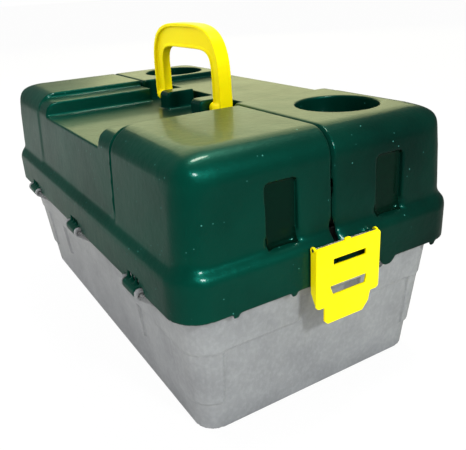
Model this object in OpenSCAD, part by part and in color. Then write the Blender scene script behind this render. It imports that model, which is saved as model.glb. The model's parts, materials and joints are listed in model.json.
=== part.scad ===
// Hip-roof tackle box: a tub, two lids that meet on the centre line, a folding
// handle, an end latch at each end and six trays on parallel arms.
// X runs across the box, Y along it, Z up. The origin is the middle of the foot.

/* [Lids] */
// Outer width over both lid skirts
lid_w = 260; // [250:1:290]
// Outer length of the lid skirts
lid_len = 452; // [440:1:500]
// Height of the parting line between the tub and the lids
part_z = 111.6; // [109:0.1:112]
// Height of the roof above the parting line
lid_h = 111.4; // [108:0.2:125]
// Wall of the lids
lid_wall = 2.6; // [2:0.1:3.2]
// Height of the skirt band above the parting line
skirt_h = 36.4; // [28:0.2:42]
// How far the wall above the skirt steps in
skirt_step = 6.4; // [4:0.2:7]
// Rounding of the skirt's shoulder
shoulder_r = 10; // [6.4:0.2:12]
// Plan corner radius of the skirt
lid_corner = 25; // [18:1:30]
// Rounding of the roof edge
lid_edge = 22; // [16:1:24]
// Gap between the two lids
seam_gap = 0.8; // [0.4:0.1:1.6]
// Width and depth of the rebate along the right lid's seam edge
seam_rebate = 2; // [1:0.2:2.4]
// How far the lip along the seam and the notch reaches below the trough floor
seam_lip = 4; // [3:0.5:6]
// How far the upper part of each side wall leans in
side_draft = 4.6; // [1:0.2:6]
// How far the upper part of each end wall leans in
end_draft = 2; // [1:0.2:4]
// How far the middle of each long side is set in above the skirt
side_inset = 1.2; // [0.6:0.2:3]
// Length of the slope at the rear end of that set-in stretch
side_ramp = 6; // [2:0.5:14]
// Width of the groove in front of that stretch
groove_w = 4; // [2:0.5:5]
// Depth of that groove
groove_t = 2; // [1:0.2:2.2]
// Width of the rib between the groove and that stretch
groove_rib = 1.2; // [1:0.2:3]

/* [Roof shapes] */
// Room between the folded handle and the front end of its trough
trough_front = 2.5; // [2:0.5:10]
// Room between the folded handle and the rear end of its trough
trough_rear = 17; // [8:1:22]
// Depth of the trough below the roof
trough_depth = 20; // [18:0.2:21]
// Length of the low ledge in front of the trough
front_ledge = 26.5; // [15:0.5:30]
// Length of the low ledge behind the trough
ledge_len = 27; // [15:1:30]
// Rounding of the ledge's outer end
ledge_edge = 13; // [6:1:15]
// How far the ledge and the middle of the right lid lie below the roof
mid_drop = 6; // [3:0.5:8]
// How far the low middle of the right lid starts before the trough
mid_lead = 16.5; // [10:0.5:20]
// How far that low middle stops short of the ledge
mid_short = 3; // [1:1:8]
// Reach of the handle tongue over the centre line
notch_x = 26; // [24:0.5:28]
// How far the notch for the tongue starts before the trough
notch_lead = 6.5; // [2:0.5:10]
// Radius of the can recesses
cup_r = 34.4; // [30:0.2:36]
// Depth of the can recesses
cup_depth = 18; // [10:0.5:19]
// Distance of the can recesses from the seam
cup_x = 60.9; // [56:0.1:66]
// Distance of the can recesses from the ends
cup_end = 73.1; // [68:0.1:78]
// Middle of the left lid's end pockets, from the seam
left_pocket_x = 44; // [40:1:50]
// Middle of the right lid's end pockets, from the seam
right_pocket_x = 57; // [52:1:62]
// Width of the end pockets
pocket_w = 27; // [20:1:28]
// Height of the end pockets
pocket_h = 47; // [30:1:50]
// How far the end pockets reach down into the shoulder
pocket_dip = 1.5; // [0.5:0.5:3]
// Depth of the end pockets at their foot
pocket_t = 5; // [3:0.2:6]
// Depth of the end pockets at their head
pocket_head_t = 3.4; // [2:0.2:5]
// Corner radius of the end pockets
pocket_r = 4; // [2:0.5:8]

/* [Tub] */
// How far the foot lies inside the collar along each long side
foot_in_x = 12.5; // [10:0.5:16]
// How far the foot lies inside the collar at each end
foot_in_y = 14.5; // [12:0.5:18]
// Plan corner radius of the foot
foot_corner = 17; // [12:1:22]
// How far the collar lies inside the lid skirts
rim_in = 9; // [7:0.5:10]
// Plan corner radius of the rim
rim_corner = 24; // [20:1:28]
// Wall of the tub
tub_wall = 3; // [2.4:0.1:3.4]
// Height of the collar band below the rim
collar_h = 35; // [20:1:38]
// Thickness of the collar band
collar_t = 3; // [2:0.2:3.4]
// Gap between the rim and the lids
rim_gap = 0.5; // [0.3:0.1:0.8]
// Height of the lower ends of the corner pads
pad_z = 27; // [20:1:50]
// Thickness of the corner pads
pad_t = 2; // [1:0.2:2.6]
// Width of each corner pad across an end
pad_w = 28; // [20:1:40]
// Length of each corner pad along a long side
pad_len = 30; // [20:1:50]
// Half width of the gap in the collar behind a latch
collar_gap = 29.5; // [24:0.5:36]

/* [Lid hinges] */
// Hinges on each long side
hinge_n = 3; // [2:1:4]
// Distance of the outer hinges from the ends
hinge_end = 80; // [74:1:100]
// Width of a hinge
hinge_w = 34; // [28:1:40]
// Width of each tub ear of a hinge
ear_w = 5; // [4:0.5:7]
// Distance of the hinge pin outside the skirt
pin_out = 1.2; // [0.6:0.1:1.6]
// Height of the hinge pin above the parting line
pin_up = 0.4; // [0.2:0.1:1]
// Radius of the hinge pins
pin_r = 2; // [1.5:0.1:2.4]
// Outer radius of the hinge knuckles
knuckle_r = 4.5; // [4:0.1:5]
// Height of the cored windows over each lid knuckle
window_h = 4.6; // [3:0.2:7]
// Width of the ribs between those windows
window_rib = 1.4; // [1:0.2:2.4]

/* [Handle] */
// Width over the handle
handle_w = 138; // [124:1:150]
// Height of the handle above its pivot
handle_h = 74; // [60:1:80]
// Depth of the grip
grip_h = 22.5; // [16:0.5:26]
// Width of each leg along the box
leg_w = 18; // [14:1:20]
// Thickness of the outer band
band_w = 13; // [10:0.5:14]
// Depth of the outer band
band_t = 3.2; // [2:0.2:4]
// Thickness of the web
web_t = 6.6; // [4:0.2:9]
// Place of the handle's plane beyond the seam
handle_x = 5.3; // [3:0.1:8]
// Height of the handle pivot above the trough floor
handle_up = 10; // [9:0.2:11.5]
// Radius of the handle's pivot lugs
lug_r = 3.8; // [3:0.1:4.2]
// Reach of a lug into its boss
lug_in = 11; // [6:0.5:14]
// Length of a lug between the leg and the boss
lug_gap = 7; // [3:0.5:8]
// Width of each boss along the box
boss_w = 19; // [15:1:22]

/* [Latches] */
// Width of a latch
latch_w = 61; // [52:1:66]
// Place of the latch's middle, from the seam
latch_x = 4; // [2:0.5:8]
// Height of the latch's top above the parting line
latch_rise = 32.7; // [30:0.1:34]
// How far the wide part reaches below the parting line
latch_drop = 16.1; // [14:0.1:20]
// Height of the pull tab
tab_h = 15; // [10:0.5:18]
// Width of the pull tab
tab_w = 45; // [36:1:48]
// Thickness of the latch plate
latch_t = 2; // [1.4:0.1:2.2]
// Distance of the latch's front from the skirt
latch_out = 8; // [7.6:0.1:9]
// Length of the latch slots
slot_w = 31; // [24:1:34]
// Radius of the latch pin
latch_pin_r = 1.2; // [1:0.1:1.3]

/* [Trays] */
// Inner edge of the trays, from the seam
tray_x0 = 7; // [6:0.5:9]
// Room between the trays and the side skirts
tray_side = 24; // [22:0.5:30]
// Room between the trays and the tub's collar at each end
tray_end = 21; // [20:0.5:26]
// Height of the lowest tray's floor above the parting line
tray_up = 2.9; // [2.4:0.1:4]
// Room between the upper tray and the trough floor above it
tray_head = 12.9; // [12:0.1:20]
// Gap between one tray and the next
tray_gap = 2; // [1.8:0.1:2.4]
// Wall of the trays
tray_wall = 2; // [1.4:0.1:2.4]
// Plan corner radius of the trays
tray_corner = 6; // [3:0.5:10]
// Thickness of the dividers
divider_t = 1.4; // [1:0.1:2]
// Height of the dividers
divider_h = 17; // [10:0.5:18]

/* [Tray arms] */
// How far the outer arms' pivots in the tub lie inside the trays' outer edge
arm_in = 10; // [9:0.5:12]
// How far the arm pivots in the tub lie below the parting line
arm_drop = 19.1; // [18:0.1:21]
// Distance between an inner and an outer arm
arm_gap = 17; // [16:0.5:18]
// How far the outer arms lean in up to the lowest tray's pivot
arm_lean = 33; // [32:0.5:34]
// Height of the pivots above a tray's floor
arm_pin_h = 16; // [15:0.5:16.5]
// How much further in each higher tray's pivot lies
arm_pin_dx = 14.5; // [14:0.1:15]
// Half width of an arm
arm_r = 5; // [4:0.1:5.5]
// Thickness of an arm
arm_t = 2; // [1.5:0.1:2.2]
// Radius of the rivets
rivet_r = 2; // [1.5:0.1:2.2]

/* [Hidden] */
$fn = 64;

eps = 0.01;          // cuts run this far past a face
run_gap = 0.05;      // radial clearance of a running fit
window_n = 3;        // cored windows over each lid knuckle
side_lap = 0.8;      // how far the set-in stretch runs on past the ledges
seat_gap = 0.3;      // clearance between pieces that only rest or slide
open_gap = 0.2;      // radial clearance of the trays' inner pivots
far = 400;           // longer than any cut needs

green = [0.03, 0.20, 0.14];
grey = [0.56, 0.57, 0.57];
yellow = [0.98, 0.88, 0.03];
steel = [0.72, 0.72, 0.74];
tray_grey = [0.68, 0.69, 0.70];

lid_hx = lid_w / 2;
lid_hy = lid_len / 2;
lid_top = part_z + lid_h;
trough_z = lid_top - trough_depth;
seam_lip_z = trough_z - seam_lip;
trough_y0 = -handle_w / 2 - trough_front;
trough_y1 = handle_w / 2 + trough_rear;
cup_y = lid_hy - cup_end;
wall_hx = lid_hx - skirt_step;
wall_hy = lid_hy - skirt_step;
wall_corner = lid_corner - skirt_step;
skirt_top = part_z + skirt_h;
wall_h = lid_top - skirt_top;
side_slant = side_draft / wall_h;      // lean of the side walls per unit of height
end_slant = end_draft / wall_h;
mid_z = lid_top - mid_drop;
side_splay = side_ramp / side_inset;
mid_y0 = trough_y0 - mid_lead;
mid_y1 = trough_y1 + ledge_len - mid_short;
notch_y0 = trough_y0 - notch_lead;
notch_y1 = mid_y1;
side_y0 = trough_y0 - front_ledge - side_lap;
side_y1 = trough_y1 + ledge_len + side_lap;
side_pin_x = lid_hx + pin_out;
side_pin_z = part_z + pin_up;
rim_z = part_z - rim_gap;
rim_w = lid_w - 2 * rim_in;
rim_len = lid_len - 2 * rim_in;
foot_w = rim_w - 2 * foot_in_x;
foot_len = rim_len - 2 * foot_in_y;
pad_x = rim_w / 2 - pad_w;
hinge_pitch = 2 * (lid_hy - hinge_end) / (hinge_n - 1);
handle_z = trough_z + handle_up;
handle_top = handle_z + handle_h;

boss_out = handle_w / 2 - leg_w - lug_gap;     // outer face of a handle boss
boss_in = boss_out - boss_w;
boss_x0 = handle_x - 14.5;                     // the boss is 29 wide about the pivot
boss_x1 = notch_x - 5;
boss_top = handle_z + 7.5;
leg_end_r = band_w / 2;

latch_top = part_z + latch_rise;
latch_mid = part_z - latch_drop;
latch_low = latch_mid - tab_h;
latch_back = lid_hy + latch_out - latch_t;     // rear face of the latch plate
latch_front = lid_hy + latch_out;
latch_pin_z = latch_top - 2.2;
latch_pin_y = lid_hy + 3.3;
latch_ear_r = 2.4;
latch_ear_w = 4;
flange_t = 2;
slot_hi = [part_z + 16.2, part_z + 21.2];      // lower and upper edge of the sight slot
slot_lo = [part_z - 7.8, part_z - 0.3];        // of the keeper slot
slot_flare = 3;                                // the keeper slot is this much wider at its top
left_tabs = [42 - lid_hx, latch_x - latch_w / 2 - 12.5];   // places of the small skirt tabs
right_tabs = [lid_hx - 26];
skirt_lug_x = 52.5;
skirt_lug_r = 8;
skirt_lug_drop = 8;

tray_x1 = lid_hx - tray_side;
tray_len = rim_len - 2 * tray_end;
tray_z = part_z + tray_up;
tray_n = 3;
tray_h = (trough_z - lid_wall - tray_head - tray_z + tray_gap) / tray_n - tray_gap;
tray_in = tray_len / 2 - tray_wall;
arm_x = tray_x1 - arm_in;
arm_z = part_z - arm_drop;
arm_pin_x = arm_x - arm_lean;
arm_y = tray_len / 2 + 0.5;                    // inner face of every arm
arm_face = arm_y + arm_t;
pivot_face = arm_face + 0.5;                   // face of the tub's pivot bosses
pivot_boss_r = 5.5;
head_t = 1.2;
head_r = 3.6;
tray_step = tray_h + tray_gap;

// Plan outline with round corners
module plan(hx, hy, r) {
    square([2 * hx - 2 * r, 2 * hy], center = true);
    square([2 * hx, 2 * hy - 2 * r], center = true);
    for (sx = [-1, 1], sy = [-1, 1])
        translate([sx * (hx - r), sy * (hy - r)]) circle(r);
}

// Upright outline with sides that lean in by slant, and round top corners.
// Its half width is h at the height zh, and it starts at z0.
module arch(h, zh, z0, z1, r, slant) {
    lean = atan(slant);
    cx = h - (z1 - r - zh) * slant - r / cos(lean);
    foot = h - (z0 - zh) * slant;
    polygon([[-foot, z0], [foot, z0], [cx + r * cos(lean), z1 - r + r * sin(lean)], [cx, z1],
        [-cx, z1], [-cx - r * cos(lean), z1 - r + r * sin(lean)]]);
    for (s = [-1, 1])
        translate([s * cx, z1 - r]) circle(r);
}

module prism(hx, hy, r, z0, z1) {
    translate([0, 0, z0]) linear_extrude(z1 - z0) plan(hx, hy, r);
}

// Block with round upright corners, round top edges and upright walls
module band(hx, hy, z0, z1, rc, re) {
    intersection() {
        prism(hx, hy, rc, z0, z1);
        rotate([90, 0, 0]) linear_extrude(2 * hy + 2, center = true) arch(hx, z0, z0, z1, re, 0);
        rotate([90, 0, 90]) linear_extrude(2 * hx + 2, center = true) arch(hy, z0, z0, z1, re, 0);
    }
}

// Upper part of the lids from z0 up, shrunk by g: leaning walls and round top edges
module roof(z0, g) {
    hx = wall_hx - g;
    hy = wall_hy - g;
    rc = wall_corner - g;
    z1 = lid_top - g;
    top = [hx - wall_h * side_slant, hy - wall_h * end_slant];
    foot = [hx + (skirt_top - z0) * side_slant, hy + (skirt_top - z0) * end_slant];
    intersection() {
        hull() {
            translate([0, 0, z0]) linear_extrude(eps) plan(foot[0], foot[1], rc);
            translate([0, 0, skirt_top + wall_h]) linear_extrude(eps) plan(top[0], top[1], rc);
        }
        rotate([90, 0, 0]) linear_extrude(far * 2, center = true)
            arch(hx, skirt_top, z0 - 1, z1, lid_edge - g, side_slant);
        rotate([90, 0, 90]) linear_extrude(far * 2, center = true)
            arch(hy, skirt_top, z0 - 1, z1, lid_edge - g, end_slant);
    }
}

// Box between two corners
module block(a, b) {
    translate(a) cube(b - a);
}

// Round bar along Y between two places
module bar_y(x, z, r, y0, y1) {
    translate([x, y0, z]) rotate([-90, 0, 0]) cylinder(h = y1 - y0, r = r);
}

// Round bar along X between two places
module bar_x(y, z, r, x0, x1) {
    translate([x0, y, z]) rotate([0, 90, 0]) cylinder(h = x1 - x0, r = r);
}

// Middle places of the hinges along a long side
hinge_ys = [for (i = [0 : hinge_n - 1]) (i - (hinge_n - 1) / 2) * hinge_pitch];

// ---------------------------------------------------------------- lids

module lid_outside() {
    band(lid_hx, lid_hy, part_z, skirt_top, lid_corner, shoulder_r);
    roof(skirt_top - skirt_step, 0);
}

module lid_inside() {
    band(lid_hx - lid_wall, lid_hy - lid_wall, part_z - 1, skirt_top - lid_wall,
        lid_corner - lid_wall, shoulder_r - lid_wall);
    roof(skirt_top - skirt_step - lid_wall, lid_wall);
}

// Recesses in the end walls, grown by g for the wall behind them
module pockets(g) {
    for (x = [-left_pocket_x, right_pocket_x], e = [-1, 1])
        intersection() {
            translate([x, 0, 0]) rotate([90, 0, 0]) linear_extrude(far * 2, center = true)
                pocket_outline(g);
            rotate([90, 0, 90]) linear_extrude(far * 2, center = true)
                polygon([[e * (wall_hy - pocket_t - g), part_z], [e * far, part_z], [e * far, lid_top],
                    [e * (wall_hy - end_draft - pocket_head_t - g), lid_top]]);
        }
}

module pocket_outline(g) {
    hw = pocket_w / 2 + g;
    r = pocket_r + g;
    z0 = skirt_top - pocket_dip - g;
    z1 = skirt_top + pocket_h + g;
    translate([-hw, z0 + r]) square([2 * hw, z1 - z0 - 2 * r]);
    translate([r - hw, z0]) square([2 * hw - 2 * r, z1 - z0]);
    for (s = [-1, 1], z = [z0 + r, z1 - r])
        translate([s * (hw - r), z]) circle(r);
}

// Outside of the set-in stretch of the long sides, grown inwards by g
module side_sets(g) {
    out = far - wall_hx;
    reach = (out + side_inset) * side_splay;
    difference() {
        for (s = [-1, 1])
            leaning(s, g) polygon([[-s * wall_hx, side_y0 - g], [s * out, side_y0 - g],
                [s * out, side_y1 + g + reach], [-s * side_inset, side_y1 + g],
                [-s * wall_hx, side_y1 + g]]);
        side_profile(side_inset + g, g);
    }
}

// Groove in front of that stretch, grown inwards by g
module side_groove(g) {
    y1 = side_y0 - groove_rib;
    difference() {
        for (s = [-1, 1])
            leaning(s, g) translate([s > 0 ? -wall_hx : -far, y1 - groove_w - g])
                square([far + wall_hx, groove_w + 2 * g]);
        side_profile(groove_t + g, g);
    }
}

// Stands an outline, drawn from the foot of the wall on the side s, up along that leaning wall
module leaning(s, g) {
    translate([s * wall_hx, 0, skirt_top]) rotate([0, -s * atan(side_slant), 0])
        translate([0, 0, -g]) linear_extrude(far) children();
}

// Solid inside the side walls set in by d, with its top g below the roof
module side_profile(d, g) {
    rotate([90, 0, 0]) linear_extrude(far * 2, center = true)
        arch(wall_hx - d, skirt_top, skirt_top - far / 4, lid_top - g, lid_edge - g, side_slant);
}

// Left half, with the tongue that carries the handle
module left_domain() {
    block([-far, -far, 0], [-seam_gap / 2, far, far]);
    block([-1, notch_y0 + seam_gap, trough_z - lid_wall],
        [notch_x - seam_gap, notch_y1 - seam_gap, trough_z]);
}

module right_domain() {
    difference() {
        block([seam_gap / 2, -far, 0], [far, far, far]);
        block([-1, notch_y0, 0], [notch_x, notch_y1, far]);
    }
}

// Trough and the ledges at its ends, grown by g
module left_sinks(g) {
    block([-far, trough_y0 - g, trough_z - g], [far, trough_y1 + g, far]);
    difference() {
        block([-far, trough_y0 - front_ledge - g, skirt_top], [far, trough_y1 + ledge_len + g, far]);
        rotate([90, 0, 0]) linear_extrude(far * 2, center = true)
            arch(wall_hx - side_inset - g, skirt_top, skirt_top - 1, mid_z - g, ledge_edge - g, side_slant);
    }
    block([-seam_gap / 2 - g, notch_y0 - g, trough_z - g], [far, notch_y1 + g, far]);
}

// Low middle and can recesses, grown by g
module right_sinks(g) {
    block([-far, mid_y0 - g, mid_z - g], [far, mid_y1 + g, far]);
    for (s = [-1, 1])
        translate([cup_x, s * cup_y, lid_top - cup_depth - g])
            cylinder(h = far, r = cup_r + g);
}

// Knuckles of one lid on the side s
module knuckles(s) {
    half = hinge_w / 2 - ear_w - seat_gap;
    for (y = hinge_ys)
        bar_y(s * side_pin_x, side_pin_z, knuckle_r, y - half, y + half);
}

module pin_bores(s, r) {
    for (y = hinge_ys)
        bar_y(s * side_pin_x, side_pin_z, r, y - hinge_w / 2 - 1, y + hinge_w / 2 + 1);
}

// Cored windows in the skirt over each knuckle on the side s
module knuckle_windows(s) {
    half = hinge_w / 2 - ear_w - seat_gap;
    cell = (2 * half - window_rib) / window_n - window_rib;
    z0 = side_pin_z + knuckle_r + seat_gap;
    for (y = hinge_ys, k = [0:window_n - 1])
        translate([s * lid_hx, y - half + window_rib + cell / 2 + k * (cell + window_rib), z0 + window_h / 2])
            cube([4 * lid_wall, cell, window_h], center = true);
}

// Room in the skirt for the tub's ears on the side s
module ear_notches(s) {
    for (y = hinge_ys, e = [-1, 1])
        translate([0, y + e * (hinge_w - ear_w) / 2, 0])
            bar_y(s * side_pin_x, side_pin_z, knuckle_r + 0.6,
                -ear_w / 2 - seat_gap, ear_w / 2 + seat_gap);
}

// Seat flange inside each end skirt
module end_flange() {
    flange_h = 2.4;
    intersection() {
        prism(lid_hx - 1, lid_hy - 1, lid_corner - 1, part_z, part_z + flange_h);
        for (e = [-1, 1])
            translate([0, e * (rim_len / 2 - tub_wall + far / 2), part_z])
                cube([2 * (lid_hx - lid_corner), far, far], center = true);
    }
}

// Small tabs that dip below the skirt at both ends
module skirt_tabs(xs, drop, half) {
    for (x = xs, e = [-1, 1])
        translate([x, e * (lid_hy - 1.4), part_z])
            rotate([90, 0, 0])
                linear_extrude(2.4, center = true)
                    polygon([[-half, 1], [-half * 0.5, -drop], [half * 0.5, -drop], [half, 1]]);
}

module left_lid() {
    color(green) difference() {
        union() {
            difference() {
                intersection() { lid_outside(); left_domain(); }
                left_sinks(0);
                side_sets(0);
                side_groove(0);
                pockets(0);
                intersection() {
                    lid_inside();
                    block([-far, -far, 0], [1, far, seam_lip_z]);
                    reduced_inside();
                }
                difference() {
                    intersection() {
                        reduced_inside();
                        lid_inside();
                        block([-far, -far, seam_lip_z - eps], [-seam_gap / 2 - lid_wall, far, far]);
                    }
                    left_sinks(lid_wall);
                }
            }
            intersection() { end_flange(); left_domain(); }
            knuckles(-1);
            skirt_tabs(left_tabs, 3.6, 4);
            for (s = [-1, 1]) handle_boss(s);
        }
        pin_bores(-1, pin_r + run_gap);
        ear_notches(-1);
        knuckle_windows(-1);
        bar_y(handle_x, handle_z, lug_r + run_gap, -boss_out - 1, -boss_out + lug_in + 0.5);
        bar_y(handle_x, handle_z, lug_r + run_gap, boss_out - lug_in - 0.5, boss_out + 1);
    }
}

// Space inside the walls where the pockets and set-in sides push in
module reduced_inside() {
    difference() {
        block([-far, -far, 0], [far, far, far]);
        side_sets(lid_wall);
        side_groove(lid_wall);
        pockets(lid_wall);
    }
}

// Boss on the tongue that a lug of the handle turns in, on the side s
module handle_boss(s) {
    y0 = s > 0 ? boss_in : -boss_out;
    round_r = 5;
    block([boss_x0, y0, trough_z - eps], [boss_x1, y0 + boss_w, boss_top - round_r]);
    block([boss_x0 + round_r, y0, trough_z - eps], [boss_x1, y0 + boss_w, boss_top]);
    bar_y(boss_x0 + round_r, boss_top - round_r, round_r, y0, y0 + boss_w);
}

module right_lid() {
    color(green) difference() {
        union() {
            difference() {
                intersection() { lid_outside(); right_domain(); }
                right_sinks(0);
                side_sets(0);
                side_groove(0);
                pockets(0);
                seam_groove();
                intersection() {
                    lid_inside();
                    block([-1, -far, 0], [far, far, seam_lip_z]);
                    reduced_inside();
                }
                difference() {
                    intersection() {
                        reduced_inside();
                        lid_inside();
                        block([seam_gap / 2 + lid_wall + seam_rebate, -far, seam_lip_z - eps],
                            [far, far, far]);
                    }
                    right_sinks(lid_wall);
                    block([-1, notch_y0 - lid_wall, 0], [notch_x + lid_wall, notch_y1 + lid_wall, far]);
                }
            }
            intersection() { end_flange(); right_domain(); }
            knuckles(1);
            skirt_tabs(right_tabs, 3.6, 4);
            skirt_lugs();
            for (e = [-1, 1]) latch_ears(e);
        }
        pin_bores(1, pin_r + run_gap);
        ear_notches(1);
        knuckle_windows(1);
        for (e = [-1, 1]) {
            bar_x(e * latch_pin_y, latch_pin_z, latch_pin_r + run_gap / 2, -far / 2, far / 2);
            nub_room(e);
        }
    }
}

// Rebate along the outer edge of the right lid's seam
module seam_groove() {
    difference() {
        block([-1, -far, part_z - 1], [seam_gap / 2 + seam_rebate, far, far]);
        rotate([90, 0, 90]) linear_extrude(far, center = true)
            arch(wall_hy - seam_rebate, skirt_top, part_z - 2, lid_top - seam_rebate,
                lid_edge - seam_rebate, end_slant);
        rotate([90, 0, 90]) linear_extrude(far, center = true)
            arch(lid_hy - seam_rebate, part_z, part_z - 2, skirt_top - seam_rebate,
                shoulder_r - seam_rebate, 0);
    }
}

// Round lugs that hang below the right lid's end skirts
module skirt_lugs() {
    for (e = [-1, 1])
        intersection() {
            translate([skirt_lug_x, e * (lid_hy - lid_wall / 2), part_z + 2]) rotate([90, 0, 0])
                cylinder(h = lid_wall, r = skirt_lug_r, center = true);
            block([0, -far, part_z - skirt_lug_drop], [far, far, part_z + 6]);
        }
}

// Ears on the right lid that carry the latch pin, at the end e
module latch_ears(e) {
    for (x = [latch_x, latch_x + latch_w / 2 - flange_t - 1 - latch_ear_w]) {
        bar_x(e * latch_pin_y, latch_pin_z, latch_ear_r, x, x + latch_ear_w);
        block([x, min(e * latch_pin_y, e * (lid_hy - 1)), latch_pin_z - latch_ear_r],
            [x + latch_ear_w, max(e * latch_pin_y, e * (lid_hy - 1)), latch_pin_z + latch_ear_r]);
    }
}

// Room in the skirt for the nub of the turned-up latch
module nub_room(e) {
    block([-1, min(e * (lid_hy - 2), e * far), latch_pin_z - 2],
        [latch_x + 3.4, max(e * (lid_hy - 2), e * far), skirt_top + 1]);
}

// ---------------------------------------------------------------- tub

module tub_form(grow, z0, z1) {
    f = foot_at(z0);
    t = foot_at(z1);
    hull() {
        translate([0, 0, z0]) linear_extrude(eps) plan(f[0] + grow, f[1] + grow, f[2] + grow, $fn = 32);
        translate([0, 0, z1 - eps]) linear_extrude(eps)
            plan(t[0] + grow, t[1] + grow, t[2] + grow, $fn = 32);
    }
}

// Half width, half length and corner radius of the tub's wall at the height z
function foot_at(z) = [
    foot_w / 2 + (rim_w / 2 - collar_t - foot_w / 2) * z / rim_z,
    foot_len / 2 + (rim_len / 2 - collar_t - foot_len / 2) * z / rim_z,
    foot_corner + (rim_corner - collar_t - foot_corner) * z / rim_z];

module base_tub() {
    color(grey) {
        difference() {
            union() {
                tub_form(0, 0, rim_z);
                difference() {
                    tub_form(collar_t, rim_z - collar_h, rim_z);
                    collar_cuts();
                }
                corner_pads();
                for (s = [-1, 1]) tub_ears(s);
            }
            tub_hollow();
            for (s = [-1, 1]) pin_bores(s, pin_r + run_gap / 2);
        }
        difference() {
            for (s = [-1, 1], e = [-1, 1]) arm_bosses(s, e);
            for (s = [-1, 1], e = [-1, 1], x = [arm_x, arm_x - arm_gap])
                bar_y(s * x, arm_z, rivet_r + run_gap, min(e * pivot_face, e * (pivot_face + 7)) - 1,
                    max(e * pivot_face, e * (pivot_face + 7)) - (e > 0 ? 0 : -1));
        }
        for (e = [-1, 1]) latch_keeper(e);
    }
}

// Inside of the tub above its floor
module tub_hollow() {
    f = foot_at(tub_wall);
    t = foot_at(rim_z);
    hull() {
        translate([0, 0, tub_wall]) linear_extrude(eps)
            plan(f[0] - tub_wall, f[1] - tub_wall, f[2] - tub_wall, $fn = 32);
        translate([0, 0, rim_z + 1]) linear_extrude(eps)
            plan(t[0] - tub_wall, t[1] - tub_wall, t[2] - tub_wall, $fn = 32);
    }
}

// Gaps in the collar behind the latches, and scallops under the skirt lugs
module collar_cuts() {
    lower = 12;
    for (e = [-1, 1]) {
        translate([latch_x, e * far / 2, rim_z - collar_h + (collar_h - lower) / 2 - 1])
            cube([2 * collar_gap, far, collar_h - lower + 2], center = true);
        translate([skirt_lug_x, e * far / 2, rim_z - 3]) rotate([90, 0, 0])
            cylinder(h = far, r = skirt_lug_r + 1.5, center = true);
    }
}

// Raised pads around the four corners
module corner_pads() {
    intersection() {
        tub_form(pad_t, pad_z, rim_z - collar_h + 1);
        for (s = [-1, 1], e = [-1, 1])
            translate([s * (pad_x + far / 2), e * (foot_len / 2 - pad_len + far / 2), 0])
                cube([far, far, far], center = true);
    }
}

// Ears of the lid hinges on the side s
module tub_ears(s) {
    for (y = hinge_ys, e = [-1, 1]) {
        y0 = y + e * (hinge_w - ear_w) / 2 - ear_w / 2;
        bar_y(s * side_pin_x, side_pin_z, knuckle_r, y0, y0 + ear_w);
        translate([0, y0, 0]) rotate([90, 0, 0]) translate([0, 0, -ear_w])
            linear_extrude(ear_w)
                polygon([[s * (rim_w / 2 - 1), rim_z], [s * side_pin_x, rim_z],
                    [s * (side_pin_x + 2), side_pin_z - 3.6], [s * (rim_w / 2 - 1.5), rim_z - 14]]);
    }
}

// Bosses inside an end wall that the arms turn on
module arm_bosses(s, e) {
    for (x = [arm_x, arm_x - arm_gap])
        bar_y(s * x, arm_z, pivot_boss_r,
            min(e * pivot_face, e * (rim_len / 2 - collar_t - 3)),
            max(e * pivot_face, e * (rim_len / 2 - collar_t - 3)));
}

// Wedge that the latch's lower slot closes over, at the end e
module latch_keeper(e) {
    nose = latch_back - seat_gap;
    root = rim_len / 2 - collar_t - 1;
    translate([latch_x + 1 - slot_w / 2 + 1, 0, 0])
        rotate([90, 0, 90])
            linear_extrude(slot_w - 2)
                polygon([[e * root, rim_z - 0.5], [e * nose, slot_lo[1] - 0.8],
                    [e * nose, slot_lo[1] - 3], [e * root, slot_lo[0] - 3]]);
}

module hinge_pins(s) {
    color(steel)
        for (y = hinge_ys)
            bar_y(s * side_pin_x, side_pin_z, pin_r, y - hinge_w / 2 - 0.6, y + hinge_w / 2 + 0.6);
}

module left_hinge_pins() { hinge_pins(-1); }
module right_hinge_pins() { hinge_pins(1); }

// ---------------------------------------------------------------- handle

// Half of a round-shouldered arch, as points from one foot to the other
function shoulder(half, top, foot, n, power) = [
    for (i = [0 : n]) let (a = 180 * i / n, c = cos(a), d = sin(a))
        [half * sign(c) * pow(abs(c), 2 / power), foot + (top - foot) * pow(abs(d), 2 / power)]];

module arch_outline(half, top, power) {
    spring = handle_z + 12;
    polygon(concat([[-half, handle_z]], [[half, handle_z]], shoulder(half, top, spring, 40, power)));
}

module handle_layer(t) {
    translate([handle_x, 0, 0]) rotate([90, 0, 90]) linear_extrude(t, center = true) children();
}

module carry_handle() {
    half = handle_w / 2;
    inner = half - leg_w;
    color(yellow) {
        handle_layer(band_w) difference() {
            arch_outline(half, handle_top, 3.5);
            arch_outline(half - band_t, handle_top - band_t, 3.5);
        }
        handle_layer(web_t) difference() {
            arch_outline(half, handle_top, 3.5);
            arch_outline(inner, handle_top - grip_h, 6);
        }
        handle_layer(web_t + 2.4) difference() {
            arch_outline(inner + 2, handle_top - grip_h + 2, 6);
            arch_outline(inner, handle_top - grip_h, 6);
        }
        for (s = [-1, 1]) {
            bar_y(handle_x, handle_z, leg_end_r, s > 0 ? inner : -half, s > 0 ? half : -inner);
            bar_y(handle_x, handle_z, lug_r, s > 0 ? boss_out - lug_in : -inner - 1,
                s > 0 ? inner + 1 : lug_in - boss_out);
            bar_y(handle_x, handle_z, lug_r + 1.4, s > 0 ? boss_out + seat_gap : -inner - 1,
                s > 0 ? inner + 1 : -boss_out - seat_gap);
        }
    }
}

// ---------------------------------------------------------------- latches

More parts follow.
